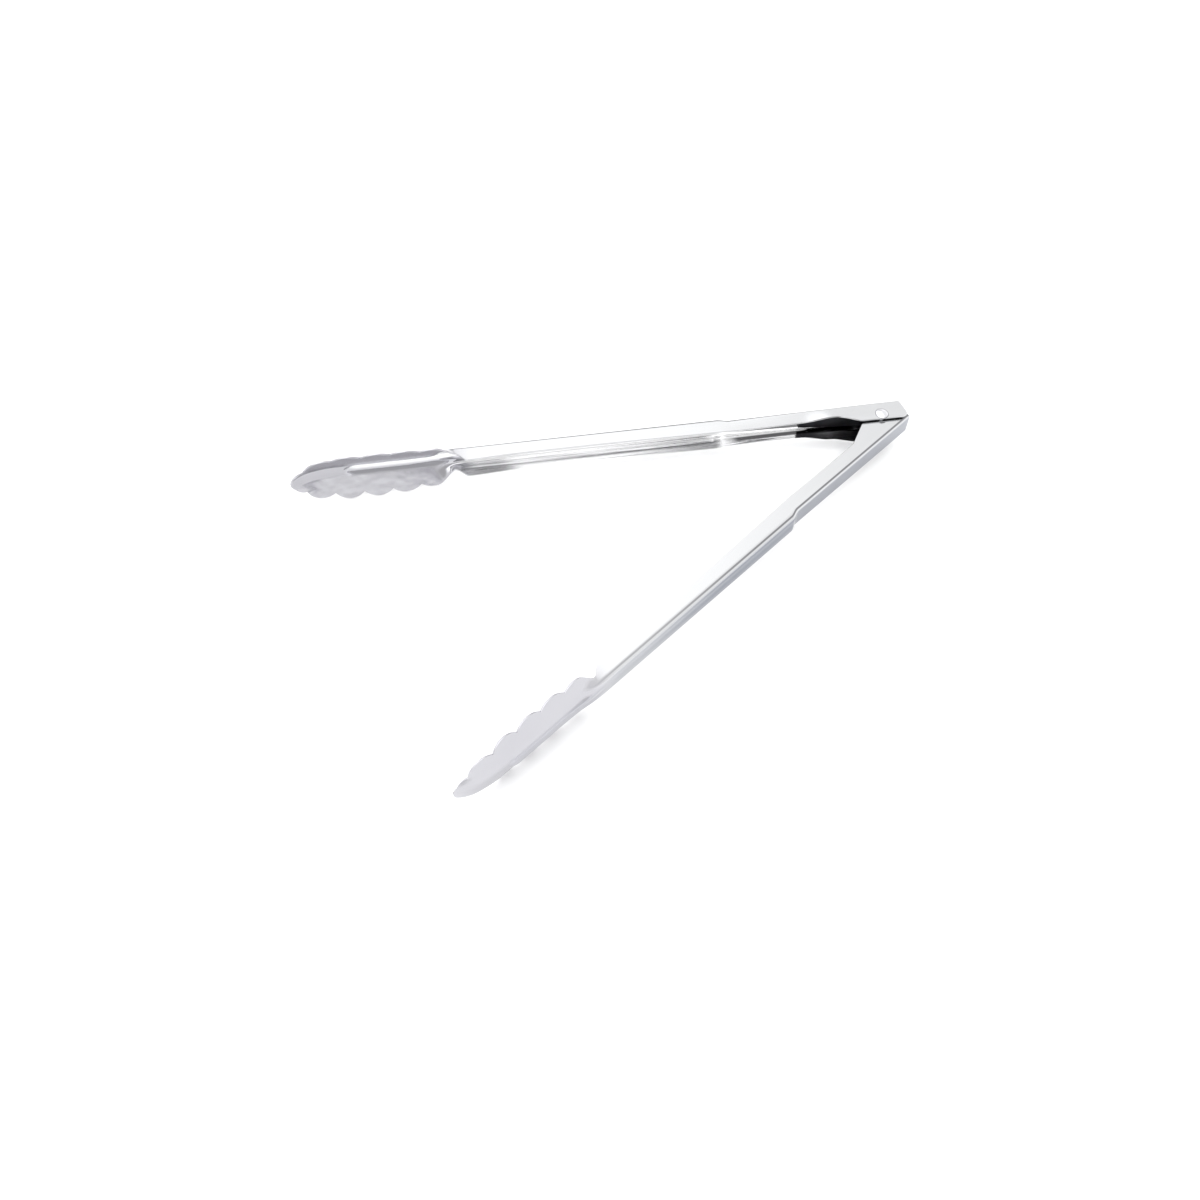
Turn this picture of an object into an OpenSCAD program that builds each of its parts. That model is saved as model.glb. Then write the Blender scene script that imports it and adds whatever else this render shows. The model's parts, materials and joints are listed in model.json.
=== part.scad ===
// Spring loaded kitchen tongs: two pressed sheet steel arms, a hinge rivet
// with its spacer sleeve, and a leaf spring that opens them.
// The tongs lie on their side: +Z is the hinge axis, the jaws point along -X,
// the outer arm is on the +Y side and the inner arm on the -Y side.
// Each arm is drawn in its own frame: X runs from the hinge to the jaw,
// Y points out through the web, and Z is the width.

/* [Tongs] */
// Hinge axis to jaw tip
reach = 388.5; // [340:0.5:400]
// Angle between the arms when they spring open
open_angle = 35.6; // [20:0.1:36.2]
// Thickness of the arm sheet
sheet = 1.2; // [0.8:0.1:1.4]

/* [Arm channel] */
// Outside width of the channel
channel_w = 16; // [15:0.5:16.5]
// Outside width of the outer arm around the hinge
hinge_w = 20.2; // [20:0.1:21]
// Outside corner radius of the bends around the hinge
bend_r = 2; // [1.5:0.1:2.5]
// How far the raised handle stands out past the web
handle_rise = 2.5; // [1:0.1:3.5]
// Outside corner radius along the raised handle
handle_r = 3.5; // [2:0.1:4]
// Distance from the hinge to the start of the raised handle
handle_start = 102; // [80:1:140]

/* [Hinge] */
// Hinge axis to the outer arm's web
outer_web_y = 11.7; // [11:0.1:14]
// Hinge axis to the inner arm's web
inner_web_y = 12.4; // [11.5:0.1:14]
// How far the inner arm's web leans out towards the hinge, in degrees
inner_lean = 0.45; // [0:0.05:0.6]
// Shank diameter of the hinge rivet
shank_d = 5; // [4:0.1:6]
// Head diameter of the hinge rivet
head_d = 9; // [8:0.1:10]
// Height of each domed head
head_h = 1.9; // [1:0.1:2.5]
// Outside diameter of the spacer sleeve
sleeve_d = 8; // [7:0.1:9]

/* [Spring] */
// Width of the spring strip
spring_w = 11; // [8:0.5:12]
// Thickness of the spring strip
spring_t = 0.8; // [0.5:0.1:1]
// Length of each leg, from the hinge axis
spring_leg = 53.5; // [40:0.5:60]

/* [Jaw] */
// Length of the jaw, from the end of the side walls to the tip
jaw_length = 113; // [112:0.5:115]
// Length of each scallop along the jaw
scallop_pitch = 18.4; // [17:0.1:19]
// Slope of the jaw's flanks, fall over run
flank_slope = 0.46; // [0.3:0.01:0.55]
// Radius of the gentle bend before the tip
bend_back_r = 75; // [60:5:120]
// Radius of the curl at the jaw's tip
curl_r = 24; // [20:1:30]

/* [Hidden] */
$fn = 64;
half_angle = open_angle / 2;
half_w = channel_w / 2;

// Height of the hinge's middle over the surface, which the jaws' scallops touch
lie_height = 19.75;
// How much further the tongs reach from the hinge axis to the jaws' side than to the other
behind_hinge = 21.1;
// Distance from the middle of the whole to the hinge axis
hinge_x = round(5 * (reach * cos(half_angle) - behind_hinge)) / 10;
// Distance from the hinge to the end of the side walls
handle_end = reach - jaw_length;

// Free edge of the side walls, as distance along the arm and from the hinge axis plane
edge_near = 1.2;
outer_edge = [[handle_start - 4, edge_near], [190, 2.4], [handle_end - 26, 2.4], [handle_end - 4, 1.4]];
inner_edge = [[handle_start - 4, edge_near], [190, 3.2]];
outer_end_y = 1.4;
inner_end_y = 3.2;

// Reach of the ears past the hinge axis, behind it and across it
outer_tail = 17.4;
inner_tail = 14.7;
outer_corner_r = 4.2;
inner_corner_r = 3.2;
end_lean = 0.19;

// Lower edge of each ear, then its slope up to the free edge of the walls
outer_ear = [[15.6, -4], [24.7, 0.4], [29.6, 2.4]];
outer_ear_low = [[15.6, -5.4], [29.6, -0.7], [58, 1.2]];
inner_ear = [[14.4, -5], [33, 1.9], [46, 2.2]];

// Walls are drawn this deep before they are trimmed, under a trim this tall
wall_stock = 24;
trim_top = 20;

// The outer arm's side walls run parallel up to here, then taper to the handle's width
taper_from = 24;

// Inner radius of the spring's loop, and the steps it is drawn with
spring_inner_r = sleeve_d / 2 + 0.3;
loop_cuts = 28;

// How much narrower a stretch of channel is than the one that covers its end
cover = 0.04;

// Running clearance on the hinge, and the gap left between stacked parts
hinge_gap = 0.05;
stack_gap = 0.2;

// The jaw's back bends gently from here, then curls up to the tip
bend_back_from = reach - 30.5;
curl_from = reach - 10;
curl_lead = 6;
bend_back_turn = (curl_from - bend_back_from) / bend_back_r * 180 / PI;
curl_from_x = bend_back_from + bend_back_r * sin(bend_back_turn);
tip_turn = asin(sin(bend_back_turn) + (reach - curl_from_x) / curl_r);
flat_tip = curl_from + curl_r * (tip_turn - bend_back_turn) * PI / 180;

// Jaw outline on the flat sheet
bead_half = 4.5;
last_valley = reach - 8.6;
first_valley = handle_end + 8.5;
second_valley = last_valley - 4 * scallop_pitch;
mouth = 10.1;

// Each scallop: where it starts and ends, as distance and half width, and its bulge
scallops = [
    [[first_valley, 9.2], [second_valley, 15.8], 4.8],
    [[second_valley, 15.8], [second_valley + scallop_pitch, 16.6], 3.2],
    [[second_valley + scallop_pitch, 16.6], [second_valley + 2 * scallop_pitch, 16.3], 3.4],
    [[second_valley + 2 * scallop_pitch, 16.3], [last_valley - scallop_pitch, 15.4], 3.9],
    [[last_valley - scallop_pitch, 15.4], [last_valley, mouth], 4.1]
];

// Bead along the jaw's back
bead_end = reach - 37.5;
bead_low = handle_end + 42.5;
bead_rise = 1.3;

// Lengths over which the channel opens into the jaw, at the middle and at the edges
opening_middle = 30;
opening_edge = 20;
// Bulge of the sheet halfway along that opening: outwards and sideways
neck_bulge = [0.6, 0.9];
// Depth of the side walls once they have faded into the jaw, and the length they take to fade
faded_depth = 5.2;
fade_length = 8;

// Steps of the jaw's mesh
bead_steps = 4;
flank_steps = 5;
half_steps = bead_steps + flank_steps;
scallop_cuts = 5;
tip_cuts = 7;

function mix(a, b, k) = a + (b - a) * k;
function clamp01(k) = min(1, max(0, k));
function polar(r, a) = r * [cos(a), sin(a)];
function ease(k) = let (c = clamp01(k)) c * c * (3 - 2 * c);

// Half width of one scallop at distance q: an arc through its two ends
function scallop_arc(part, q) =
    let (
        run = part[1] - part[0],
        chord = norm(run),
        radius = (chord * chord / 4 + part[2] * part[2]) / (2 * part[2]),
        side = [-run[1], run[0]] / chord,
        centre = (part[0] + part[1]) / 2 - (radius - part[2]) * side,
        off = q - centre[0]
    )
    centre[1] + sqrt(max(0, radius * radius - off * off));

// Half width of the sheet at distance q along it
function sheet_half(q) =
    let (
        root = clamp01((q - handle_end) / (first_valley - handle_end)),
        tip = clamp01((q - last_valley) / (flat_tip - last_valley)),
        slack = 0.001
    )
    q <= first_valley ? mix(half_w, scallops[0][0][1], root * root)
    : q >= last_valley ? mouth * pow(max(0.002, 1 - pow(tip, 1.6)), 0.6)
    : max([for (part = scallops)
        if (q >= part[0][0] - slack && q <= part[1][0] + slack) scallop_arc(part, q)]);

// An arm's own values are a list: its web's height and its walls' height at their end

// Depth of the side walls where they fade into the jaw
function wall_depth(q, arm) = mix(arm[0] - arm[1], faded_depth, ease((q - handle_end) / fade_length));

// How far the bead stands out at distance q and width h
function bead(q, h) =
    let (
        past_end = max(0, q - bead_end),
        off = norm([h, past_end]) / bead_half,
        rise = mix(handle_rise, bead_rise, ease((q - handle_end) / (bead_low - handle_end)))
    )
    off >= 1 ? 0 : rise * (1 - pow(off, 2.5));

// Where the bent sheet has got to at distance q: [distance, depth]
function bent(q, h) =
    let (
        lead = curl_lead * pow(clamp01(abs(h) / mouth), 2),
        a = max(0, min(q, curl_from - lead) - bend_back_from) / bend_back_r * 180 / PI,
        b = a + max(0, q - curl_from + lead) / curl_r * 180 / PI
    )
    [
        min(q, bend_back_from) + bend_back_r * sin(a) + curl_r * (sin(b) - sin(a)),
        bend_back_r * (1 - cos(a)) + curl_r * (cos(a) - cos(b))
    ];

// A point of the open jaw's outer face
function scoop_point(q, j, arm) =
    let (
        k = abs(j),
        edge = sheet_half(q),
        inner = min(bead_half, edge / 2),
        h = k <= bead_steps ? inner * k / bead_steps : mix(inner, edge, (k - bead_steps) / flank_steps),
        back = bent(q, h),
        depth = flank_slope * max(0, h - bead_half) + back[1] - bead(q, h)
    )
    [back[0], arm[0] - depth, sign(j) * h];

// A point of the channel's outer face, on the same grid
function channel_point(q, j, arm) =
    let (
        k = abs(j),
        flat = half_w - handle_r,
        turn = clamp01((k - bead_steps) / 3) * 90,
        down = max(0, k - bead_steps - 3) / (flank_steps - 3),
        h = k <= bead_steps ? flat * k / bead_steps : flat + handle_r * sin(turn),
        bend = handle_r * (1 - cos(turn)),
        depth = bend - handle_rise + down * (wall_depth(q, arm) + handle_rise - handle_r)
    )
    [q, arm[0] - depth, sign(j) * h];

function jaw_point(q, j, arm) =
    let (
        k = ease((q - handle_end) / mix(opening_middle, opening_edge, abs(j) / half_steps)),
        swell = sin(180 * k) * sin(180 * abs(j) / half_steps),
        bulge = swell * [0, neck_bulge[0], neck_bulge[1] * sign(j)]
    )
    k <= 0 ? channel_point(q, j, arm)
    : k >= 1 ? scoop_point(q, j, arm)
    : mix(channel_point(q, j, arm), scoop_point(q, j, arm), k) + bulge;

// Normal of the outer face, pointing away from the hollow
function jaw_normal(q, j, arm) =
    let (
        step = 0.2,
        ahead = q + step > flat_tip ? 0 : step,
        along = jaw_point(q + ahead, j, arm) - jaw_point(q - step, j, arm),
        low = max(-half_steps, j - 1),
        high = min(half_steps, j + 1),
        across = jaw_point(q, high, arm) - jaw_point(q, low, arm),
        n = cross(across, along)
    )
    n / norm(n);

// Stations along the jaw
stations = concat(
    [handle_end, handle_end + 2, handle_end + 4, handle_end + 6],
    [for (part = scallops) for (i = [0 : scallop_cuts - 1]) mix(part[0][0], part[1][0], i / scallop_cuts)],
    [for (i = [0 : tip_cuts]) mix(last_valley, flat_tip, sin(90 * i / tip_cuts))]
);

// One ring of the jaw's sheet: the outer face, then back along the inner face
function jaw_ring(q, inset, arm) = concat(
    [for (j = [-half_steps : half_steps])
        jaw_point(q, j, arm) - inset * jaw_normal(q, j, arm)],
    [for (j = [half_steps : -1 : -half_steps])
        jaw_point(q, j, arm) - (sheet - inset) * jaw_normal(q, j, arm)]
);

// Skin through a list of rings, closed at both ends
module skin(rings) {
    count = len(rings[0]);
    last = len(rings) - 1;
    points = [for (ring = rings) for (p = ring) p];
    walls = [for (i = [0 : last - 1]) for (k = [0 : count - 1])
        let (a = i * count + k, b = i * count + (k + 1) % count)
        each [[a, a + count, b], [b, a + count, b + count]]];
    // Each end is a strip between the outer face and the inner face
    ends = [for (i = [0, last]) for (k = [0 : count / 2 - 2])
        let (a = i * count + k, b = a + 1, c = i * count + count - 1 - k, d = c - 1)
        each i == 0 ? [[a, b, c], [b, d, c]] : [[a, c, b], [b, c, d]]];
    polyhedron(points, concat(walls, ends), convexity = 8);
}

// The jaw, with a tongue that reaches into the end of the channel
module jaw(arm) {
    tongue = 0.25;
    root = jaw_ring(handle_end, tongue, arm);
    back = [for (p = root) p - [1.5, 0, 0]];
    body = [for (i = [1 : len(stations) - 1]) jaw_ring(stations[i], 0, arm)];
    skin(concat([back, root], body));
}

// Outer outline of the channel's section: width along X, web at y = 0
module channel_outline(w, r, depth) {
    translate([-w / 2, -depth]) square([w, depth - r]);
    translate([-w / 2 + r, -depth]) square([w - 2 * r, depth]);
    for (side = [-1, 1]) translate([side * (w / 2 - r), -r]) circle(r = r);
}

// A stretch of channel from x = from to x = to, with its web at web_y
module channel(from, to, w, r, web_y, depth) {
    translate([from, web_y, 0])
        rotate([0, 90, 0])
            linear_extrude(to - from)
                difference() {
                    channel_outline(w, r, depth);
                    translate([0, -sheet]) channel_outline(w - 2 * sheet, r - sheet, depth);
                }
}

// End wall that closes the step up to the raised handle
module handle_step(web_y) {
    translate([handle_start, web_y, 0])
        rotate([0, 90, 0])
            linear_extrude(sheet)
                difference() {
                    translate([0, handle_rise]) channel_outline(channel_w, handle_r, handle_rise + 4);
                    translate([0, -sheet]) channel_outline(channel_w - 2 * sheet, bend_r - sheet, 6);
                }
}

// Side profile that trims the walls: round ear corner, ear, then the free edge.
// lean is how far the end of the web leans forward for each mm of height.
module side_profile(tail, corner_r, lean, ear, edge) {
    corner_x = corner_r - tail;
    end_y = edge[len(edge) - 1][1];
    translate([corner_x, 0]) circle(r = corner_r);
    polygon(concat(
        [[-tail, 0], [corner_x, -corner_r]],
        ear,
        edge,
        [[handle_end + 1, end_y], [handle_end + 1, trim_top], [lean * trim_top - tail, trim_top]]
    ));
}

// Trims the upper and the lower side wall, each to its own ear
module trimmed(tail, corner_r, lean, ear, ear_low, edge) {
    intersection() {
        children();
        union() {
            linear_extrude(hinge_w) side_profile(tail, corner_r, lean, ear, edge);
            translate([0, 0, -hinge_w])
                linear_extrude(hinge_w + 1) side_profile(tail, corner_r, lean, ear_low, edge);
        }
    }
}

// Hole through both ears
module ear_hole(r) {
    cylinder(r = r, h = 2 * hinge_w, center = true);
}

// Half of the channel, from its outer wall inwards, to half of the web
module half_outline(w, r, depth) {
    intersection() {
        difference() {
            channel_outline(w, r, depth);
            translate([0, -sheet]) channel_outline(w - 2 * sheet, r - sheet, depth);
        }
        translate([-w, -2 * depth]) square([w + 1, 3 * depth]);
    }
}

// Stretch of channel that narrows evenly from w_from to w_to
module taper(from, to, w_from, w_to, r, web_y, depth) {
    turn = atan((w_from - w_to) / 2 / (to - from));
    for (side = [-1, 1]) scale([1, 1, side])
        translate([from, web_y, w_from / 2])
            rotate([0, turn, 0])
                translate([0, 0, -w_from / 2])
                    rotate([0, 90, 0])
                        linear_extrude(to - from)
                            half_outline(w_from, r, depth);
}

// Handle part of an arm, up to the end of the side walls
module handle(web_y) {
    channel(handle_start, handle_end, channel_w, handle_r, web_y + handle_rise, wall_stock);
    handle_step(web_y);
}

module outer_shape() {
    // The taper starts a little narrower and inside the parallel stretch, which covers its end
    difference() {
        union() {
            trimmed(outer_tail, outer_corner_r, end_lean, outer_ear, outer_ear_low, outer_edge) {
                union() {
                    channel(-outer_tail - 1, taper_from, hinge_w, bend_r, outer_web_y, wall_stock);
                    taper(taper_from - 1, handle_start + sheet, hinge_w - cover, channel_w - cover,
                        bend_r, outer_web_y, wall_stock);
                    handle(outer_web_y);
                }
            }
            jaw([outer_web_y, outer_end_y]);
        }
        ear_hole(shank_d / 2);
    }
}

module inner_shape() {
    difference() {
        union() {
            trimmed(inner_tail, inner_corner_r, 0, inner_ear, inner_ear, inner_edge)
                union() {
                    // Turned a little about the start of the raised handle, so its web leans out.
                    // It is a little narrower than the handle, whose walls and step cover its end.
                    translate([handle_start, inner_web_y, 0])
                        rotate([0, 0, -inner_lean])
                            channel(-handle_start - inner_tail - 2, sheet / 2,
                                channel_w - cover, bend_r, 0, wall_stock);
                    handle(inner_web_y);
                }
            jaw([inner_web_y, inner_end_y]);
        }
        ear_hole(shank_d / 2 + hinge_gap);
    }
}

// Places the hinge
module at_hinge() {
    translate([hinge_x, 0, lie_height]) children();
}

module on_outer() {
    at_hinge() rotate([0, 0, 180 - half_angle]) mirror([0, 1, 0]) children();
}

module on_inner() {
    at_hinge() rotate([0, 0, 180 + half_angle]) children();
}

module outer_arm() {
    color("gainsboro") on_outer() outer_shape();
}

module inner_arm() {
    color("lightgray") on_inner() inner_shape();
}

// Domed head: a slice of a sphere that is head_d across and head_h high
module rivet_head() {
    ball_r = (head_d * head_d / 4 + head_h * head_h) / (2 * head_h);
    translate([0, 0, hinge_w / 2])
        intersection() {
            translate([0, 0, head_h - ball_r]) sphere(r = ball_r);
            cylinder(d = head_d + 2, h = head_h + 1);
        }
}

module hinge_rivet() {
    color("whitesmoke")
        at_hinge() {
            cylinder(d = shank_d, h = hinge_w + 0.2, center = true);
            for (flip = [0, 180]) rotate([flip, 0, 0]) rivet_head();
        }
}

module spacer_sleeve() {
    length = channel_w - 2 * sheet - 2 * stack_gap;
    color("silver")
        at_hinge()
            difference() {
                cylinder(d = sleeve_d, h = length, center = true);
                cylinder(r = shank_d / 2 + hinge_gap, h = length + 2, center = true);
            }
}

// How far a leg leans from its arm's direction to reach the web
function leg_lean(web_y) = asin((web_y - sheet - stack_gap - spring_inner_r - spring_t) / spring_leg);

// One face of the strip, at radius r round the hinge: leg, loop, leg
function strip_face(r) =
    let (
        from = 90 - half_angle - leg_lean(outer_web_y),
        to = half_angle + leg_lean(inner_web_y) - 90
    )
    concat(
        [polar(r, from) + polar(spring_leg, from + 90)],
        [for (i = [0 : loop_cuts]) polar(r, mix(from, to, i / loop_cuts))],
        [polar(r, to) + polar(spring_leg, to - 90)]
    );

module leaf_spring() {
    outer_face = strip_face(spring_inner_r + spring_t);
    inner_face = strip_face(spring_inner_r);
    last = len(inner_face) - 1;
    color("dimgray")
        at_hinge()
            translate([0, 0, -spring_w / 2])
                linear_extrude(spring_w)
                    polygon(concat(outer_face, [for (i = [last : -1 : 0]) inner_face[i]]));
}

outer_arm();
inner_arm();
hinge_rivet();
spacer_sleeve();
leaf_spring();
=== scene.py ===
import json
import math

import bmesh
import bpy
import numpy as np
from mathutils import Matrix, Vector

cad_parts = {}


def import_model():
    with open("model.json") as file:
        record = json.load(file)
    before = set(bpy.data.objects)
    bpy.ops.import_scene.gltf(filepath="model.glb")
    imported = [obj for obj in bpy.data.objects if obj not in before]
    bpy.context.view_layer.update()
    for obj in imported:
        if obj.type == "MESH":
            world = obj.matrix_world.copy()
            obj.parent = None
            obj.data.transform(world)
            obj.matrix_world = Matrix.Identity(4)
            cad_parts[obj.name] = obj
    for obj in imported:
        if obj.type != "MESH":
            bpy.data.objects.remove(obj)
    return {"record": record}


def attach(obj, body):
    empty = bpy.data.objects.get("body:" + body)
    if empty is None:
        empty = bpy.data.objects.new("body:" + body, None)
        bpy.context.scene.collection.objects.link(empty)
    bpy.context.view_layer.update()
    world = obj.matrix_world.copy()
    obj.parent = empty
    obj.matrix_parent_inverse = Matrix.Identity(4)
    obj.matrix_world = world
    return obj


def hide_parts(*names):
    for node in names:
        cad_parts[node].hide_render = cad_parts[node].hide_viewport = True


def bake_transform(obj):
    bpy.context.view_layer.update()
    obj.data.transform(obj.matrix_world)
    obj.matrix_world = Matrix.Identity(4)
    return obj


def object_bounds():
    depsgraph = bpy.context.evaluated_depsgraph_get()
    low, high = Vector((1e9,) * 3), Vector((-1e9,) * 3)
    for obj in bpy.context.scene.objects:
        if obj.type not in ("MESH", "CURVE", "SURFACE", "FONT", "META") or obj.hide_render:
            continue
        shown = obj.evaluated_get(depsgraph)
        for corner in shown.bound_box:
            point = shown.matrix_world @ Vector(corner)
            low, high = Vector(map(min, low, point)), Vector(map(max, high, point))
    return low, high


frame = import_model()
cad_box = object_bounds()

# Spring loaded kitchen tongs. Lengths are in millimetres, as in the part's own source,
# and MM turns them into metres where a mesh is made.
MM = 0.001

JOINT = frame["record"]["behaviour"]["joints"][0]
HINGE = np.array(JOINT["pos_m"]) / MM
HALF_ANGLE = math.radians(17.8)

# The whole: hinge to tip, the sheet's thickness, and the channel's half width
REACH = 388.5
SHEET = 1.2
HALF_W = 8.0

# The raised handle: how far its back stands out and its corner radius, where the step up to it
# starts and how long that is, and where the handle ends. BEND_R is the corner before the step.
HANDLE_RISE = 2.5
HANDLE_R = 3.5
BEND_R = 2.0
HANDLE_START = 102.0
RAMP = 8.0
HANDLE_END = 275.5

# The outer arm's side walls: half width at the web and at the free edge by the ears, and at the
# free edge of the waist beyond them, with where that starts, is reached and starts to end
EAR_WEB_HALF = 9.6
EAR_EDGE_HALF = 10.2
WAIST_HALF = 7.6
WAIST_START, WAIST_FULL, WAIST_END = 33.0, 52.0, 80.0
# Where the depth that the walls lean over is measured
LEAN_DEPTH_AT = 60.0
# The slanted tail ends by this distance
TAIL_END = 10.0

# The neck: the side walls' depth in it and how fast they get there, how long the change from
# channel to jaw is at the middle and at the edge, and how far the sheet swells out and sideways
NECK_WALL = 5.2
NECK_WALL_RUN = 8.0
NECK_MIDDLE, NECK_EDGE = 30.0, 20.0
NECK_SWELL = (0.0, 0.6, 0.9)

# The jaw: the sides' slope, and the bead's half width, end, rise and side wall. The bead has come
# down to its rise at BEAD_LOW.
SLOPE = 0.46
BEAD_HALF = 4.5
BEAD_END = 351.0
BEAD_LOW = 318.0
BEAD_RISE = 1.5
BEAD_WALL = 2.6

# The tip, of half width MOUTH where it starts, bends down in two arcs. The second arc starts
# sooner at the edges, by CURL_LEAD.
MOUTH = 10.1
BACK_R, BACK_FROM = 75.0, 358.0
CURL_R, CURL_FROM, CURL_LEAD = 24.0, 378.5, 6.0
BACK_TURN = (CURL_FROM - BACK_FROM) / BACK_R
CURL_FROM_X = BACK_FROM + BACK_R * math.sin(BACK_TURN)
TIP_TURN = math.asin(math.sin(BACK_TURN) + (REACH - CURL_FROM_X) / CURL_R)
FLAT_TIP = CURL_FROM + CURL_R * (TIP_TURN - BACK_TURN)

# The valleys between the scallops are a pitch apart, all but the first
LAST_VALLEY = 379.9
FIRST_VALLEY = 284.0
PITCH = 18.4
SECOND_VALLEY = LAST_VALLEY - 4 * PITCH

# Each scallop: where it starts and ends, as distance and half width, and its bulge
VALLEYS = [
    (FIRST_VALLEY, 9.2), (SECOND_VALLEY, 15.8), (SECOND_VALLEY + PITCH, 16.6),
    (SECOND_VALLEY + 2 * PITCH, 16.3), (LAST_VALLEY - PITCH, 15.4), (LAST_VALLEY, MOUTH),
]
BULGES = [4.8, 3.2, 3.4, 3.9, 4.1]

# The two arms: the web's height over the hinge and its rise towards the ears, the tail's reach,
# corner radius and slant, and the rivet hole. ear and ear_low are the free edges of the upper
# and the lower side wall.
EDGE_LOW, EDGE_HIGH, EDGE_LATE, EDGE_END = 98, 190, 249.5, 271.5
OUTER_EDGE = [(EDGE_LOW, 1.2), (EDGE_HIGH, 2.4), (EDGE_LATE, 2.4), (EDGE_END, 1.4)]
INNER_EDGE = [(EDGE_LOW, 1.2), (EDGE_HIGH, 3.2)]
OUTER = dict(
    name="outer_arm", body="outer", side=1, web=11.7, rise=0.0, tail=17.4, corner=4.2,
    lean=0.19, hole=2.5,
    ear=[(15.6, -4), (24.7, 0.4), (29.6, 2.4)] + OUTER_EDGE,
    ear_low=[(15.6, -5.4), (29.6, -0.7), (58, 1.2)] + OUTER_EDGE,
)
INNER = dict(
    name="inner_arm", body="inner", side=-1, web=12.4, rise=math.radians(0.45), tail=14.7, corner=3.2,
    lean=0.0, hole=2.55,
    ear=[(14.4, -5), (33, 1.9), (46, 2.2)] + INNER_EDGE,
    ear_low=[(14.4, -5), (33, 1.9), (46, 2.2)] + INNER_EDGE,
)

# Columns of the sheet's grid, from its middle line to its free edge
WEB_COLS, BEND_COLS, WALL_COLS = 12, 8, 10
COLS = WEB_COLS + BEND_COLS + WALL_COLS
# The rim that rounds a free edge: depth as a share of the sheet, and how far the point stands out
RIM = [(0.12, 0.16), (0.5, 0.28), (0.88, 0.16)]
# Where the inner face starts in the sheet's map
INNER_FACE = 100.0


def mix(a, b, k):
    return a + (b - a) * k


def ease(k):
    k = np.clip(k, 0, 1)
    return k * k * (3 - 2 * k)


def ramp(q, start, end):
    return ease((q - start) / (end - start))


def scallop_arc(a, b, bulge, q):
    """Half width of one scallop at distance q: an arc from a to b."""
    a, b = np.array(a), np.array(b)
    run = b - a
    chord = np.linalg.norm(run)
    radius = (chord ** 2 / 4 + bulge ** 2) / (2 * bulge)
    centre = (a + b) / 2 - (radius - bulge) * np.array([-run[1], run[0]]) / chord
    return centre[1] + math.sqrt(max(0.0, radius ** 2 - (q - centre[0]) ** 2))


def sheet_half(q):
    """Half width of the jaw's flat sheet at distance q."""
    if q <= FIRST_VALLEY:
        k = min(1, max(0, (q - HANDLE_END) / (FIRST_VALLEY - HANDLE_END)))
        return mix(HALF_W, VALLEYS[0][1], k * k)
    if q >= LAST_VALLEY:
        k = (q - LAST_VALLEY) / (FLAT_TIP - LAST_VALLEY)
        return MOUTH * max(0.002, 1 - k ** 1.6) ** 0.6
    for a, b, bulge in zip(VALLEYS, VALLEYS[1:], BULGES):
        if q <= b[0]:
            return scallop_arc(a, b, bulge, q)


def bead(q, h):
    """How far the bead on the jaw's back stands out."""
    off = math.hypot(h, 0.55 * max(0.0, q - BEAD_END + 4))
    rise = mix(HANDLE_RISE, BEAD_RISE, ramp(q, HANDLE_END, BEAD_LOW))
    return rise * ease((BEAD_HALF + 0.5 - off) / BEAD_WALL)


def bent(q, h):
    """Where the bent sheet has got to at distance q: distance and depth."""
    lead = CURL_LEAD * min(1.0, h / MOUTH) ** 2
    a = max(0.0, min(q, CURL_FROM - lead) - BACK_FROM) / BACK_R
    b = a + max(0.0, q - CURL_FROM + lead) / CURL_R
    x = min(q, BACK_FROM) + BACK_R * math.sin(a) + CURL_R * (math.sin(b) - math.sin(a))
    return x, BACK_R * (1 - math.cos(a)) + CURL_R * (math.cos(a) - math.cos(b))


def scoop_point(arm, q, j):
    """A point of the open jaw's outer face: distance, height over the hinge, width."""
    k = abs(j)
    edge = sheet_half(q)
    inner = min(BEAD_HALF, edge / 2)
    if k <= WEB_COLS:
        h = inner * k / WEB_COLS
    else:
        h = mix(inner, edge, (k - WEB_COLS) / (COLS - WEB_COLS))
    x, drop = bent(q, h)
    depth = SLOPE * max(0.0, h - BEAD_HALF) + drop - bead(q, h)
    return (x, arm["web"] - depth, math.copysign(h, j))


def web_half(arm, s):
    """Half width at the web's corner."""
    if arm is OUTER:
        return mix(EAR_WEB_HALF, HALF_W, np.clip(s / HANDLE_START, 0, 1))
    return HALF_W


def edge_half(arm, s):
    """Half width at the side walls' free edge."""
    if arm is OUTER:
        stepped = mix(EAR_EDGE_HALF, WAIST_HALF, ramp(s, WAIST_START, WAIST_FULL))
        return mix(stepped, HALF_W, ramp(s, WAIST_END, HANDLE_START + RAMP))
    return HALF_W


def free_edge(arm, s, ear="ear"):
    """Height of a side wall's free edge over the hinge."""
    corner_x = arm["corner"] - arm["tail"]
    if s < corner_x:
        return -math.sqrt(max(0.0, arm["corner"] ** 2 - (s - corner_x) ** 2))
    points = [(corner_x, -arm["corner"])] + arm[ear] + [(HANDLE_END + 40, arm[ear][-1][1])]
    return float(np.interp(s, [p[0] for p in points], [p[1] for p in points]))


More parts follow.
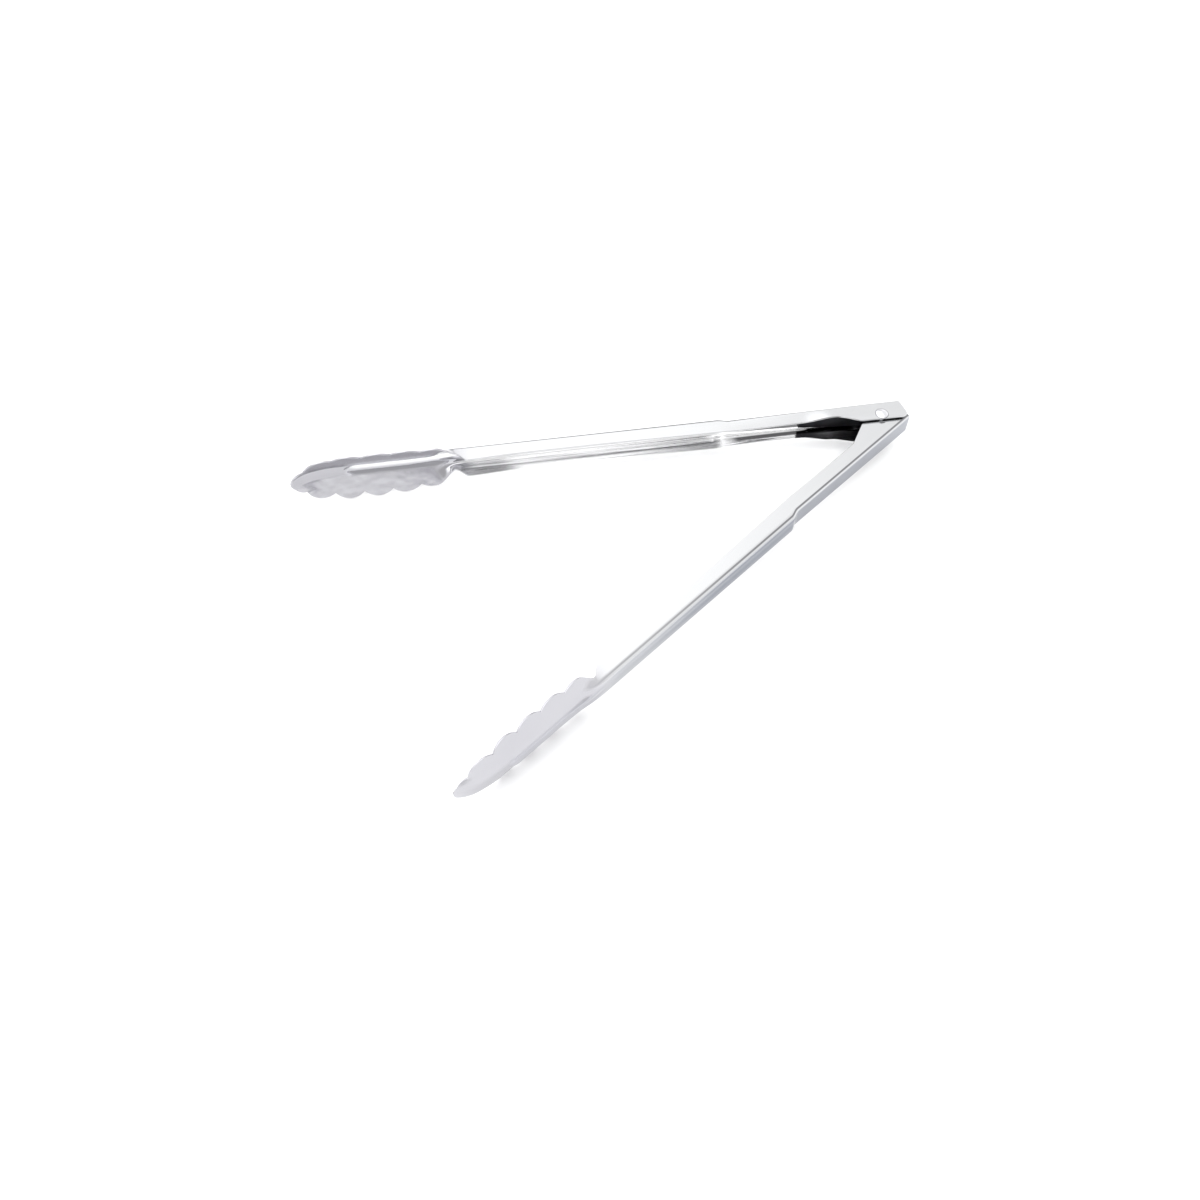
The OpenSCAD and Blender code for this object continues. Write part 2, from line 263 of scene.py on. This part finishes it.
def channel_point(arm, s, j):
    """A point of the channel's outer face, on the same grid as the jaw."""
    k = abs(j)
    raised = ramp(s, HANDLE_START, HANDLE_START + RAMP)
    top = arm["web"] + HANDLE_RISE * raised + max(0.0, HANDLE_START - s) * math.tan(arm["rise"])
    ear = "ear" if j > 0 else "ear_low"
    radius = mix(BEND_R, HANDLE_R, raised)
    wide, low = web_half(arm, s), edge_half(arm, s)
    flat = wide - radius
    depth = top - radius - free_edge(arm, min(s, HANDLE_END), ear)
    if s > HANDLE_END:
        neck = NECK_WALL + HANDLE_RISE - HANDLE_R
        depth = mix(depth, neck, ramp(s, HANDLE_END, HANDLE_END + NECK_WALL_RUN))
    if k <= WEB_COLS:
        h, v = flat * k / WEB_COLS, top
    elif k <= WEB_COLS + BEND_COLS:
        turn = (k - WEB_COLS) / BEND_COLS * math.pi / 2
        h, v = flat + radius * math.sin(turn), top - radius * (1 - math.cos(turn))
    else:
        down = (k - WEB_COLS - BEND_COLS) / WALL_COLS
        span = top - radius - free_edge(arm, LEAN_DEPTH_AT, ear)
        h = wide + (low - wide) * min(1.2, down * depth / span)
        v = top - radius - depth * down
    x = s
    if arm["lean"] and s < TAIL_END:
        x = s + arm["lean"] * max(0.0, v) * (1 - (s + arm["tail"]) / (TAIL_END + arm["tail"]))
    return (x, v, math.copysign(h, j))


def face_point(arm, q, j):
    """A point of the outer face: channel, jaw, or a blend of both in the neck."""
    k = ease((q - HANDLE_END) / mix(NECK_MIDDLE, NECK_EDGE, abs(j) / COLS))
    if k <= 0:
        return channel_point(arm, q, j)
    if k >= 1:
        return scoop_point(arm, q, j)
    swell = math.sin(math.pi * k) * math.sin(math.pi * abs(j) / COLS)
    bulge = swell * np.array(NECK_SWELL) * (1, 1, np.sign(j))
    channel, scoop = np.array(channel_point(arm, q, j)), np.array(scoop_point(arm, q, j))
    return tuple(mix(channel, scoop, k) + bulge)


def spread(start, end, step):
    """Even stations from start up to, but not including, end."""
    count = max(1, round((end - start) / step))
    return [mix(start, end, i / count) for i in range(count)]


def stations(arm):
    """Distances along the sheet where it gets a row of points."""
    tail, corner = -arm["tail"], arm["corner"]
    rows = [tail + 0.25 + (corner - 0.25) * (1 - math.cos(math.pi / 2 * i / 8)) for i in range(8)]
    marks = [tail + corner] + [p[0] for p in arm["ear"] + arm["ear_low"] if p[0] < HANDLE_START]
    marks += [WAIST_START, WAIST_FULL, WAIST_END, HANDLE_START]
    marks = sorted(set(marks))
    for a, b in zip(marks, marks[1:]):
        rows += spread(a, b, 2.5)
    rows += spread(HANDLE_START, HANDLE_START + RAMP, 0.5)
    rows += spread(HANDLE_START + RAMP, EDGE_HIGH, 8) + spread(EDGE_HIGH, EDGE_LATE, 6)
    rows += spread(EDGE_LATE, EDGE_END, 4) + spread(EDGE_END, HANDLE_END, 1)
    rows += spread(HANDLE_END, FIRST_VALLEY, 0.6)
    for a, b in zip(VALLEYS, VALLEYS[1:]):
        rows += spread(a[0], b[0], 0.75)
    rows += [mix(LAST_VALLEY, FLAT_TIP - 0.25, math.sin(math.pi / 2 * i / 26)) for i in range(27)]
    return rows


def unit(v):
    return v / np.maximum(np.linalg.norm(v, axis=-1, keepdims=True), 1e-9)


def place(arm, p):
    """Turns an arm's own points (distance, height, width) into the frame, in metres."""
    side = arm["side"]
    along = np.array([-math.cos(HALF_ANGLE), side * math.sin(HALF_ANGLE), 0])
    out = np.array([math.sin(HALF_ANGLE), side * math.cos(HALF_ANGLE), 0])
    up = np.array([0, 0, 1.0])
    return (HINGE + p[..., :1] * along + p[..., 1:2] * out + p[..., 2:] * up) * MM


def sheet_rings(arm):
    """Closed rings round the sheet, from the tail to the tip, with rounded free edges."""
    qs = stations(arm)
    js = range(-COLS, COLS + 1)
    face = np.array([[face_point(arm, q, j) for j in js] for q in qs])
    along = np.gradient(face, axis=0)
    across = np.gradient(face, axis=1)
    normal = unit(np.cross(across, along))
    # The very tip's outline turns on itself, so its normals come from the row before
    normal[-1] = normal[-2]
    back = face - SHEET * normal
    edge = unit(across)
    # Each free edge is drawn in, so that its rounded rim ends where the sheet does
    inset, end_rim, end_share = 0.3, 0.22, 0.55
    for side in (0, -1):
        pull = inset * edge[:, side] * (1 if side else -1)
        face[:, side] -= pull
        back[:, side] -= pull
    high = [face[:, -1] - d * SHEET * normal[:, -1] + r * edge[:, -1] for d, r in RIM]
    low = [back[:, 0] + d * SHEET * normal[:, 0] - r * edge[:, 0] for d, r in RIM]
    rings = np.concatenate([face, np.stack(high, 1), back[:, ::-1], np.stack(low, 1)], axis=1)
    # A last rim at each end rounds it off
    middle = (face + back) / 2
    ends = []
    for i, step in ((0, -1), (-1, 1)):
        first, last = (np.repeat(middle[i][k][None], len(RIM), 0) for k in (0, -1))
        core = np.concatenate([middle[i], last, middle[i][::-1], first])
        push = step * unit(along[i].mean(0)) * end_rim
        ends.append(mix(core, rings[i], end_share) + push)
    rings = np.concatenate([ends[0][None], rings, ends[1][None]])
    return rings, [qs[0]] + list(qs) + [qs[-1]]


def sheet_mesh(arm):
    """The arm's sheet as one closed mesh, with distance and width as its UV map."""
    rings, qs = sheet_rings(arm)
    rows, count = rings.shape[:2]
    verts = place(arm, rings).reshape(-1, 3)
    faces = ring_faces(rows, count)
    # A ring holds the outer face, a rim, the inner face back again, and the other rim
    width = 2 * COLS + 1
    inner_start, inner_end = width + len(RIM), 2 * width + len(RIM)
    for i in (0, rows - 1):
        ring = [i * count + k for k in range(count)]
        front = ring[:width]
        behind = ring[inner_start:inner_end][::-1]
        for k in range(width - 1):
            quad = (front[k], behind[k], behind[k + 1], front[k + 1])
            faces.append(quad if i == 0 else quad[::-1])
        for a, b, rim in (
            (front[-1], behind[-1], ring[width:inner_start]),
            (behind[0], front[0], ring[inner_end:]),
        ):
            cap = (a, b) + tuple(rim[::-1])
            faces.append(cap if i == 0 else cap[::-1])
    mesh = bpy.data.meshes.new(arm["name"])
    mesh.from_pydata(verts.tolist(), [], faces)
    # Across the sheet the map counts from its middle line, and the inner face is INNER_FACE further on
    step = np.linalg.norm(np.diff(rings, axis=1, prepend=rings[:, :1]), axis=-1)
    across = np.cumsum(step, axis=1)
    inner_middle = inner_start + COLS
    inner = across[:, inner_middle][:, None] - across + INNER_FACE
    across = across - across[:, COLS][:, None]
    across[:, inner_start:] = inner[:, inner_start:]
    map_sheet(mesh, qs, across)
    return mesh


def map_sheet(mesh, along, across):
    """Gives a strip of rings its UV map: a distance along for each ring, one across for each point."""
    count = across.shape[1]
    uv = np.stack([np.repeat(np.array(along)[:, None], count, 1), across], -1).reshape(-1, 2) * MM
    layer = mesh.uv_layers.new(name="sheet")
    index = np.empty(len(mesh.loops), np.int32)
    mesh.loops.foreach_get("vertex_index", index)
    layer.data.foreach_set("uv", uv[index].astype(np.float32).ravel())


def ring_faces(rows, count):
    """Quads between rings of points, each ring closed on itself."""
    faces = []
    for i in range(rows - 1):
        for k in range(count):
            n = (k + 1) % count
            faces.append((i * count + k, i * count + n, (i + 1) * count + n, (i + 1) * count + k))
    return faces


def add_object(name, mesh):
    """A new object in the scene."""
    obj = bpy.data.objects.new(name, mesh)
    bpy.context.scene.collection.objects.link(obj)
    return obj


def recalc(mesh):
    """Turns all of a closed mesh's faces outwards."""
    bm = bmesh.new()
    bm.from_mesh(mesh)
    bmesh.ops.recalc_face_normals(bm, faces=bm.faces)
    bm.to_mesh(mesh)
    bm.free()


def apply_modifiers(obj):
    """Keeps the modifiers' result as the object's own mesh."""
    depsgraph = bpy.context.evaluated_depsgraph_get()
    mesh = bpy.data.meshes.new_from_object(obj.evaluated_get(depsgraph))
    obj.modifiers.clear()
    obj.data = mesh


def smooth(obj, angle=38):
    """Smooth shading that keeps flats flat and sharp creases sharp."""
    mesh = obj.data
    mesh.polygons.foreach_set("use_smooth", [True] * len(mesh.polygons))
    bm = bmesh.new()
    bm.from_mesh(mesh)
    for edge in bm.edges:
        edge.smooth = len(edge.link_faces) != 2 or edge.calc_face_angle(0) < math.radians(angle)
    bm.to_mesh(mesh)
    bm.free()
    weighted = obj.modifiers.new("weighted", "WEIGHTED_NORMAL")
    weighted.keep_sharp = True
    weighted.mode = "FACE_AREA_WITH_ANGLE"
    apply_modifiers(obj)


def lathe_mesh(name, profile, segments=72):
    """Solid of revolution about the hinge's axis. The profile is (radius, height) from end to end."""
    verts = []
    for r, z in profile:
        for i in range(segments):
            a = 2 * math.pi * i / segments
            verts.append(((HINGE + [r * math.cos(a), r * math.sin(a), z]) * MM).tolist())
    mesh = bpy.data.meshes.new(name)
    mesh.from_pydata(verts, [], ring_faces(len(profile), segments))
    return mesh


# ---------- materials ----------

class Nodes:
    """Short hand for a node tree."""

    def __init__(self, tree):
        self.tree = tree

    def add(self, kind, inputs=(), **settings):
        node = self.tree.nodes.new(kind)
        for key, value in settings.items():
            setattr(node, key, value)
        for key, value in dict(inputs).items():
            self.link(value, node.inputs[key])
        return node

    def link(self, value, socket):
        if isinstance(value, bpy.types.NodeSocket):
            self.tree.links.new(value, socket)
        else:
            socket.default_value = value

    def maths(self, operation, a, b=0.0):
        return self.add("ShaderNodeMath", {0: a, 1: b}, operation=operation).outputs[0]

    def times(self, first, *others):
        for other in others:
            first = self.maths("MULTIPLY", first, other)
        return first

    def noise(self, vector, scale, detail=3.0, rough=0.5):
        node = self.add("ShaderNodeTexNoise", {"Vector": vector, "Scale": scale,
                                               "Detail": detail, "Roughness": rough})
        return node.outputs[0]

    def stretch(self, vector, scale):
        node = self.add("ShaderNodeMapping", {"Vector": vector, "Scale": scale})
        return node.outputs[0]

    def between(self, value, a, b, low, high):
        """Goes smoothly from low to high as the value goes from a to b."""
        node = self.add("ShaderNodeMapRange", {"Value": value, 1: a, 2: b, 3: low, 4: high},
                        interpolation_type="SMOOTHSTEP")
        return node.outputs[0]

    def rise(self, value, a, b):
        return self.between(value, a, b, 0.0, 1.0)

    def fall(self, value, a, b):
        return self.between(value, a, b, 1.0, 0.0)

    def blend(self, factor, a, b):
        return self.add("ShaderNodeMix", {0: factor, 2: a, 3: b}).outputs[0]

    def blend_colours(self, factor, a, b):
        node = self.add("ShaderNodeMix", {0: factor, 6: a, 7: b}, data_type="RGBA")
        return node.outputs[2]

    def bump(self, height, strength, distance, over=None):
        settings = {"Height": height, "Strength": strength, "Distance": distance}
        node = self.add("ShaderNodeBump", settings)
        if over is not None:
            self.link(over, node.inputs["Normal"])
        return node.outputs[0]


class Material(Nodes):
    """A material with its own shader."""

    def __init__(self, name):
        self.material = bpy.data.materials.new(name)
        self.material.use_nodes = True
        super().__init__(self.material.node_tree)
        self.shader = self.tree.nodes["Principled BSDF"]


class SheetPlaces:
    """Where on an arm's sheet a point is. along counts from the hinge, side is the signed distance
    from the sheet's middle line and off is its size, all in millimetres. The rest are masks."""

    def __init__(self, n):
        self.uv = n.add("ShaderNodeUVMap", uv_map="sheet").outputs[0]
        split = n.add("ShaderNodeSeparateXYZ", {0: self.uv})
        self.along = n.maths("DIVIDE", split.outputs[0], MM)
        across = n.maths("DIVIDE", split.outputs[1], MM)
        self.inside = n.maths("GREATER_THAN", across, 0.5 * INNER_FACE)
        self.side = n.maths("SUBTRACT", across, n.times(self.inside, INNER_FACE))
        self.off = n.maths("ABSOLUTE", self.side)
        self.jaw = n.rise(self.along, 268, 292)
        not_jaw = n.maths("SUBTRACT", 1.0, self.jaw)
        self.hollow = n.times(self.inside, not_jaw)
        self.web_back = n.times(n.fall(self.off, 5.6, 7.5), not_jaw, n.maths("SUBTRACT", 1.0, self.inside))
        self.bead = n.times(self.jaw, n.fall(self.off, 4.2, 5.6), n.fall(self.along, 348, 357))
        self.from_step = n.rise(self.along, 105, 112)


def painted_back_shade(n, at, brush, handle):
    """Painted shade on the web's back: darker, with a darker bluish painted stripe down the middle, getting
    brighter towards the jaw.
    """
    back = n.blend_colours(brush, (0.20, 0.212, 0.245, 1), (0.29, 0.30, 0.335, 1))
    back = n.blend_colours(n.between(at.along, 160, 270, 0.0, 0.5), back, handle)
    stripe = n.times(n.fall(at.off, 1.2, 2.8), n.rise(at.along, 100, 112),
                     n.between(at.along, 170, 270, 0.7, 0.1))
    return n.blend_colours(stripe, back, (0.16, 0.18, 0.225, 1))


def painted_inside_reflections(n, at):
    """Painted dark reflections inside the handle: a thin line along each side wall, darker metal below it at
    both ends, and a wider dark mark by the spring."""
    line = n.times(n.rise(at.off, 11.7, 12.2), n.fall(at.off, 12.7, 14.8), at.from_step,
                   n.between(at.along, 110, 260, 0.95, 0.55))
    ends = n.maths("ADD", n.between(at.along, 110, 190, 0.75, 0.0), n.between(at.along, 235, 255, 0.0, 0.75))
    below = n.times(ends, at.from_step, n.rise(at.off, 11.9, 12.6))
    wide = n.times(n.rise(at.off, 8.6, 9.3), n.fall(at.off, 11.8, 13.2),
                   n.between(at.along, 94, 103, 0.95, 0.0))
    return n.maths("MAXIMUM", n.maths("MAXIMUM", line, below), wide)


def arm_colour(n, at, brush, cloud):
    """The finishes, with painted light and shade, each laid over the ones before it."""
    handle = n.blend_colours(brush, (0.57, 0.575, 0.585, 1), (0.63, 0.635, 0.645, 1))
    # Painted light: a steel far brighter than the outer faces, for the inside and the bead's highlight
    painted_light_steel = n.blend_colours(brush, (0.89, 0.89, 0.895, 1), (0.95, 0.95, 0.955, 1))
    satin = n.blend_colours(cloud, (0.43, 0.427, 0.455, 1), (0.49, 0.487, 0.510, 1))
    # The bead is darker than the jaw, as painted shade
    bead_shade = n.blend_colours(brush, (0.37, 0.37, 0.40, 1), (0.46, 0.46, 0.49, 1))
    # The inside gets painted dark reflections over its painted light
    bright = n.blend_colours(painted_inside_reflections(n, at), painted_light_steel, (0.12, 0.12, 0.125, 1))
    # Painted shade: a dark line along both bends of the web
    crease_shade = n.times(n.rise(at.off, 7.6, 8.3), n.fall(at.off, 8.8, 9.5),
                     n.between(at.along, 120, 270, 0.85, 0.45))
    # Painted highlight along the upper half of the bead's hollow side
    painted_bead_highlight = n.times(n.rise(at.side, -3.0, 1.5), n.fall(at.side, 4.5, 13.0), at.inside, at.jaw,
                    n.fall(at.along, 345, 356))
    colour = n.blend_colours(at.web_back, handle, painted_back_shade(n, at, brush, handle))
    colour = n.blend_colours(crease_shade, colour, (0.15, 0.15, 0.16, 1))
    colour = n.blend_colours(at.hollow, colour, bright)
    colour = n.blend_colours(at.jaw, colour, satin)
    colour = n.blend_colours(at.bead, colour, bead_shade)
    return n.blend_colours(painted_bead_highlight, colour, painted_light_steel)


def arm_roughness(n, at, brush, cloud):
    """Brushed handles, satin jaws, a smoother bead and inside, and a few smudges."""
    grain = n.noise(n.stretch(at.uv, (1500, 2600, 1)), 1.0, 2, 0.5)
    satin = n.between(grain, 0.3, 0.7, 0.15, 0.21)
    rough = n.blend(at.jaw, n.between(brush, 0.3, 0.7, 0.10, 0.17), satin)
    rough = n.blend(n.maths("MAXIMUM", at.hollow, at.bead), rough, 0.09)
    return n.maths("ADD", rough, n.between(cloud, 0.35, 0.75, -0.02, 0.04))


def arm_relief(n, at, brush):
    """Brush lines, long waves and a shallow roll by the free edges inside, faintly uneven jaws."""
    wave = n.noise(n.stretch(at.uv, (7, 340, 1)), 1.0, 1.5, 0.5)
    dents = n.noise(n.stretch(at.uv, (110, 130, 1)), 1.0, 1.0, 0.4)
    roll = n.between(at.off, 12.5, 15.0, 0.0, 0.4)
    inside = n.times(n.maths("ADD", n.times(wave, 0.8), roll), at.hollow)
    height = n.maths("ADD", inside, n.times(dents, at.jaw, 0.4))
    return n.bump(height, 1.0, 0.0004, over=n.bump(brush, 0.06, 0.00002))


def arm_steel():
    """Polished sheet: brushed along the handles, satin in the jaws, slightly wavy inside. The web's back and
    bends get painted shade, the bead painted shade and a painted highlight, and the inside painted light
    with a few painted dark reflections."""
    n = Material("arm_steel")
    at = SheetPlaces(n)
    brush = n.noise(n.stretch(at.uv, (30, 4200, 1)), 1.0, 4, 0.6)
    cloud = n.noise(n.stretch(at.uv, (22, 60, 1)), 1.0, 3, 0.55)
    n.link(arm_colour(n, at, brush, cloud), n.shader.inputs["Base Color"])
    n.link(arm_roughness(n, at, brush, cloud), n.shader.inputs["Roughness"])
    n.link(arm_relief(n, at, brush), n.shader.inputs["Normal"])
    n.shader.inputs["Metallic"].default_value = 1.0
    return n.material


def rivet_steel():
    """Bright upset rivet with faint turning marks and painted shade round each head's rim."""
    n = Material("rivet_steel")
    where = n.add("ShaderNodeTexCoord").outputs["Object"]
    fine = n.noise(where, 2500, 3, 0.6)
    n.link(n.between(fine, 0.3, 0.7, 0.18, 0.26), n.shader.inputs["Roughness"])
    from_axis = n.add("ShaderNodeVectorMath", {0: where, 1: JOINT["pos_m"]}, operation="SUBTRACT").outputs[0]
    flat = n.stretch(from_axis, (1, 1, 0))
    radius = n.add("ShaderNodeVectorMath", {0: flat}, operation="LENGTH").outputs["Value"]
    # Painted shade round each head's rim
    rim_shade = n.between(radius, 0.0038, 0.0044, 0.0, 0.85)
    dome = n.blend_colours(fine, (0.64, 0.64, 0.665, 1), (0.70, 0.70, 0.725, 1))
    n.link(n.blend_colours(rim_shade, dome, (0.10, 0.10, 0.11, 1)), n.shader.inputs["Base Color"])
    n.link(n.bump(fine, 0.05, 0.00003), n.shader.inputs["Normal"])
    n.shader.inputs["Metallic"].default_value = 1.0
    return n.material


def sleeve_steel():
    """Drawn tube, a little dull."""
    n = Material("sleeve_steel")
    where = n.add("ShaderNodeTexCoord").outputs["Object"]
    lines = n.noise(n.stretch(where, (3000, 3000, 60)), 1.0, 3, 0.6)
    n.link(n.between(lines, 0.3, 0.7, 0.28, 0.42), n.shader.inputs["Roughness"])
    n.link(n.blend_colours(lines, (0.50, 0.50, 0.52, 1), (0.62, 0.62, 0.64, 1)),
           n.shader.inputs["Base Color"])
    n.shader.inputs["Metallic"].default_value = 1.0
    return n.material


def spring_steel():
    """Very dark spring strip with a satin roll finish."""
    n = Material("spring_steel")
    uv = n.add("ShaderNodeUVMap", uv_map="sheet").outputs[0]
    roll = n.noise(n.stretch(uv, (60, 2200, 1)), 1.0, 3, 0.6)
    patch = n.noise(n.stretch(uv, (160, 160, 1)), 1.0, 3, 0.5)
    n.link(n.between(roll, 0.3, 0.7, 0.28, 0.42), n.shader.inputs["Roughness"])
    n.link(n.blend_colours(patch, (0.010, 0.010, 0.012, 1), (0.028, 0.028, 0.032, 1)),
           n.shader.inputs["Base Color"])
    n.link(n.bump(roll, 0.1, 0.00003), n.shader.inputs["Normal"])
    n.shader.inputs["Metallic"].default_value = 0.9
    return n.material


# ---------- pieces ----------

def cut_hole(obj, radius):
    """Drills the hinge hole through both ears."""
    axis, reach = 0.001, 16
    profile = [(axis, -reach), (radius, -reach), (radius, reach), (axis, reach)]
    mesh = lathe_mesh("drill", profile, 64)
    recalc(mesh)
    drill = add_object("drill", mesh)
    cut = obj.modifiers.new("hole", "BOOLEAN")
    cut.operation = "DIFFERENCE"
    cut.solver = "EXACT"
    cut.object = drill
    apply_modifiers(obj)
    bpy.data.objects.remove(drill)


def make_arm(arm, material):
    """One pressed sheet arm, with its rivet hole."""
    mesh = sheet_mesh(arm)
    recalc(mesh)
    obj = add_object(arm["name"] + "_sheet", mesh)
    cut_hole(obj, arm["hole"])
    smooth(obj)
    obj.data.materials.clear()
    obj.data.materials.append(material)
    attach(obj, arm["body"])
    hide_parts(arm["name"])
    return obj


def make_rivet(material):
    """Shank with two domed heads, each with a small flat skirt."""
    base, head_r, head_h, shank_r = 10.1, 4.5, 1.9, 2.5
    skirt, break_r, break_h, axis, steps = 0.25, 0.15, 0.1, 0.002, 14
    ball = (head_r ** 2 + head_h ** 2) / (2 * head_h)
    top = math.asin((head_r - break_h) / ball)
    upper = [(shank_r, base), (head_r - break_r, base), (head_r, base + break_h), (head_r, base + skirt)]
    for i in range(1, steps + 1):
        a = top * (1 - i / steps)
        upper.append((max(axis, ball * math.sin(a)), base + head_h - ball * (1 - math.cos(a))))
    profile = [(r, -z) for r, z in reversed(upper)] + upper
    mesh = lathe_mesh("hinge_rivet_turned", profile)
    recalc(mesh)
    obj = add_object("hinge_rivet_turned", mesh)
    smooth(obj, 50)
    obj.data.materials.append(material)
    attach(obj, "outer")
    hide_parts("hinge_rivet")
    return obj


def make_sleeve(material):
    """Plain tube with broken edges, on the rivet between the inner arm's ears."""
    half, outer, inner, chamfer = 6.6, 4.0, 2.55, 0.25
    profile = [
        (inner, -half + chamfer), (inner + chamfer, -half), (outer - chamfer, -half),
        (outer, -half + chamfer), (outer, half - chamfer), (outer - chamfer, half),
        (inner + chamfer, half), (inner, half - chamfer), (inner, -half + chamfer),
    ]
    mesh = lathe_mesh("spacer_sleeve_turned", profile)
    bm = bmesh.new()
    bm.from_mesh(mesh)
    bmesh.ops.remove_doubles(bm, verts=bm.verts, dist=1e-7)
    bm.to_mesh(mesh)
    bm.free()
    recalc(mesh)
    obj = add_object("spacer_sleeve_turned", mesh)
    smooth(obj, 30)
    obj.data.materials.append(material)
    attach(obj, "outer")
    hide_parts("spacer_sleeve")
    return obj


def polar(r, a):
    return np.array([r * math.cos(a), r * math.sin(a)])


def spring_path():
    """Middle line of the strip and its outward normals: leg, loop round the sleeve, leg."""
    inner_r, t, leg, gap = 4.3, 0.8, 53.5, 0.2
    mid_r = inner_r + t / 2
    lean = {}
    for arm in (OUTER, INNER):
        lean[arm["name"]] = math.asin((arm["web"] - SHEET - gap - inner_r - t) / leg)
    start = math.pi / 2 - HALF_ANGLE - lean["outer_arm"]
    end = -(math.pi / 2 - HALF_ANGLE - lean["inner_arm"])
    points, normals = [], []
    steps, loop = 18, 32
    for i in range(steps):
        points.append(polar(mid_r, start) + polar(leg * (1 - i / steps), start + math.pi / 2))
        normals.append(polar(1, start))
    for i in range(loop + 1):
        a = mix(start, end, i / loop)
        points.append(polar(mid_r, a))
        normals.append(polar(1, a))
    for i in range(1, steps + 1):
        points.append(polar(mid_r, end) + polar(leg * i / steps, end - math.pi / 2))
        normals.append(polar(1, end))
    return np.array(points), np.array(normals), t


def make_spring(material):
    """The strip, with rounded long edges and clipped ends."""
    points, normals, t = spring_path()
    half, round_off = 5.5, 0.12
    flat = half - round_off
    section = [(-half, 0), (-flat, 0.5), (flat, 0.5), (half, 0), (flat, -0.5), (-flat, -0.5)]
    cols = []
    for z, d in section:
        cols.append(np.column_stack([points + normals * d * t, np.full(len(points), z)]))
    rings = np.stack(cols, 1)
    rows, count = rings.shape[:2]
    verts = ((HINGE + rings) * MM).reshape(-1, 3)
    faces = ring_faces(rows, count)
    faces.append(tuple(range(count)))
    faces.append(tuple(range((rows - 1) * count, rows * count))[::-1])
    mesh = bpy.data.meshes.new("leaf_spring_strip")
    mesh.from_pydata(verts.tolist(), [], faces)
    length = np.concatenate([[0], np.cumsum(np.linalg.norm(np.diff(points, axis=0), axis=1))])
    map_sheet(mesh, length, rings[..., 2])
    recalc(mesh)
    obj = add_object("leaf_spring_strip", mesh)
    smooth(obj, 30)
    obj.data.materials.append(material)
    # The loop takes up the bend, from one side of the rivet to the other
    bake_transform(obj)
    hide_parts("leaf_spring")
    return obj


# ---------- studio ----------

def floor():
    """A wide sheet of pale paper just under the tongs."""
    half, gap = 3.0, 0.0002
    z = cad_box[0][2] - gap
    corners = [(-half, -half, z), (half, -half, z), (half, half, z), (-half, half, z)]
    mesh = bpy.data.meshes.new("floor")
    mesh.from_pydata(corners, [], [(0, 1, 2, 3)])
    obj = add_object("floor", mesh)
    n = Material("floor_paper")
    where = n.add("ShaderNodeTexCoord").outputs["Object"]
    fibre = n.noise(where, 300, 3, 0.5)
    n.link(n.blend_colours(fibre, (0.94, 0.942, 0.945, 1), (0.96, 0.962, 0.965, 1)),
           n.shader.inputs["Base Color"])
    n.shader.inputs["Roughness"].default_value = 0.9
    n.shader.inputs["Specular IOR Level"].default_value = 0.0
    mesh.materials.append(n.material)


def lobe(n, direction, azimuth, elevation, inner, outer, strength):
    """Light of this strength within inner degrees of a direction, fading out by outer degrees."""
    a, e = math.radians(azimuth), math.radians(elevation)
    middle = (math.cos(e) * math.cos(a), math.cos(e) * math.sin(a), math.sin(e))
    dot = n.add("ShaderNodeVectorMath", {0: direction, 1: middle}, operation="DOT_PRODUCT").outputs["Value"]
    return n.between(dot, math.cos(math.radians(outer)), math.cos(math.radians(inner)), 0.0, strength)


def world():
    """Soft studio surroundings: a pale room, lighter and darker in places, given by direction."""
    room = bpy.data.worlds.new("studio")
    room.use_nodes = True
    bpy.context.scene.world = room
    n = Nodes(room.node_tree)
    direction = n.add("ShaderNodeTexCoord").outputs["Generated"]
    height = n.add("ShaderNodeSeparateXYZ", {0: direction}).outputs["Z"]
    # The walls are a little brighter up to somewhat over the horizon
    total = n.between(height, 0.17, 0.30, 1.5, 1.25)
    # The bright side of the room, the light overhead, and two darker stretches of wall
    for part in (
        lobe(n, direction, 110, 45, 34, 48, 0.5),
        lobe(n, direction, -135, 76, 14, 40, 1.3),
        lobe(n, direction, -100, 25, 14, 38, -0.5),
        lobe(n, direction, 62, 13, 5, 18, -0.6),
    ):
        total = n.maths("ADD", total, part)
    background = n.tree.nodes["Background"]
    n.link(total, background.inputs["Strength"])
    background.inputs["Color"].default_value = (1.0, 1.0, 1.0, 1)


def camera():
    """The photo's viewpoint, high and from the jaws' side, with the tongs small in a square frame."""
    place_m = (-0.31102, -0.44656, 0.68295)
    turn_degrees = (35.475, -2.471, -28.316)
    data = bpy.data.cameras.new("camera")
    data.sensor_width = 36
    data.lens = 40.7
    obj = bpy.data.objects.new("camera", data)
    obj.location = place_m
    obj.rotation_euler = [math.radians(a) for a in turn_degrees]
    scene = bpy.context.scene
    scene.collection.objects.link(obj)
    scene.camera = obj
    scene.view_settings.view_transform = "Standard"


def main():
    camera()
    world()
    floor()
    steel = arm_steel()
    make_arm(OUTER, steel)
    make_arm(INNER, steel)
    make_rivet(rivet_steel())
    make_sleeve(sleeve_steel())
    make_spring(spring_steel())


main()
